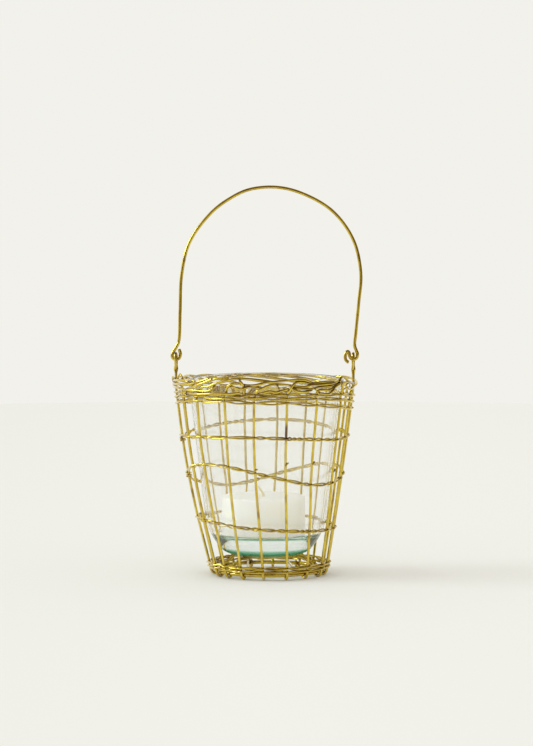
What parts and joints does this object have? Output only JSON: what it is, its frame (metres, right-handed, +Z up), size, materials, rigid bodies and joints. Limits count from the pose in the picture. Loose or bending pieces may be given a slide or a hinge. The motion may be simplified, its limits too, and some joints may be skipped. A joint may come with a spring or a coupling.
{
  "type": "candle holder",
  "caption": "Tapered basket of twined brass wire with a swinging bail handle hooked into wire ears, holding a clear glass tumbler with a white candle in it.",
  "frame": {"origin": "centre of the foot circle, on the surface that the holder stands on", "axes": "+X right, +Y away from the front, +Z up; the bail swings about a line along X"},
  "size_m": [0.1167, 0.1132, 0.2373],
  "materials": {
    "brass": "satin",
    "glass": "gloss",
    "wax": "satin",
    "wick": "matte"
  },
  "bodies": {
    "basket": {"base_ring": "brass", "left_ear": "brass", "right_ear": "brass", "stake_1": "brass", "stake_2": "brass", "stake_3": "brass", "stake_4": "brass", "stake_5": "brass", "stake_6": "brass", "stake_7": "brass", "stake_8": "brass", "stake_10": "brass", "stake_11": "brass", "stake_12": "brass", "stake_13": "brass", "stake_14": "brass", "stake_15": "brass", "stake_16": "brass", "stake_17": "brass", "base_row_lower": "brass", "base_row_upper": "brass", "row_1": "brass", "row_2": "brass", "row_3": "brass", "rim_row_lower": "brass", "rim_row_middle": "brass", "rim_row_upper": "brass", "floor_wire_left": "brass", "floor_wire_right": "brass", "rest_wire_front": "brass", "rest_wire_back": "brass", "glass": "glass", "candle": "wax", "wick": "wick"},
    "handle": {"handle": "brass"}
  },
  "joints": [
    {"name": "handle_swing", "type": "hinge", "parent": "basket", "child": "handle", "pos_m": [-0.0028, 0, 0.1315], "axis": [1, 0, 0], "range_deg": [-105, 105]}
  ]
}
